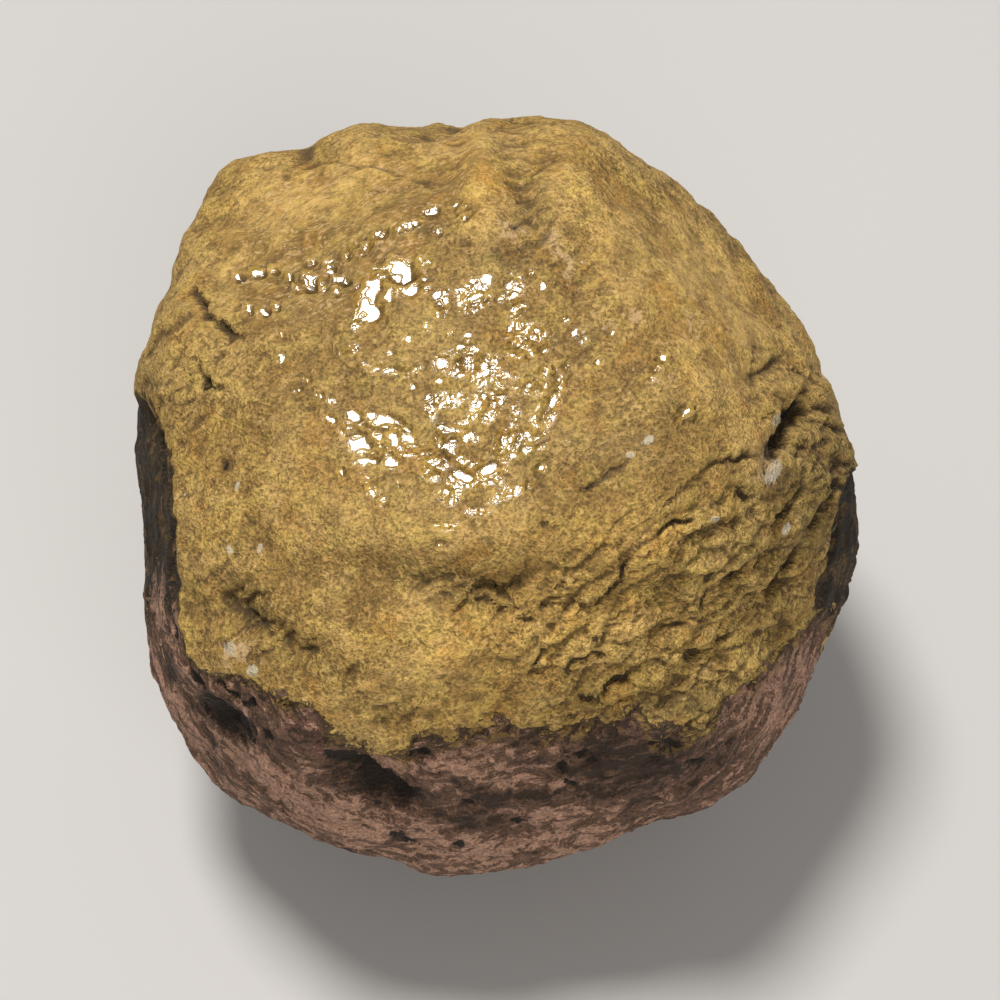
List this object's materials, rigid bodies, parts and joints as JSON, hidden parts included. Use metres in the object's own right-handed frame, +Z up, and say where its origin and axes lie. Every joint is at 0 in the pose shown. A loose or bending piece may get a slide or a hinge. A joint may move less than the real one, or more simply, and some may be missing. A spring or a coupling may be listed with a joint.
{
  "type": "agate nodule",
  "caption": "Rounded natural stone nodule with a pitted ochre rind, ledges and hollows, resting on a small flat spot.",
  "frame": {"origin": "on the small flat spot the stone rests on, below the middle of the stone", "axes": "+Z up from the flat spot, -Y the side the stone's best-seen face leans toward, +X to the right of that face"},
  "size_m": [0.0595, 0.0594, 0.0553],
  "materials": {
    "nodule": "rough ochre rind, damp and glossy in places"
  },
  "bodies": {
    "root": {"nodule": "nodule"}
  },
  "joints": []
}
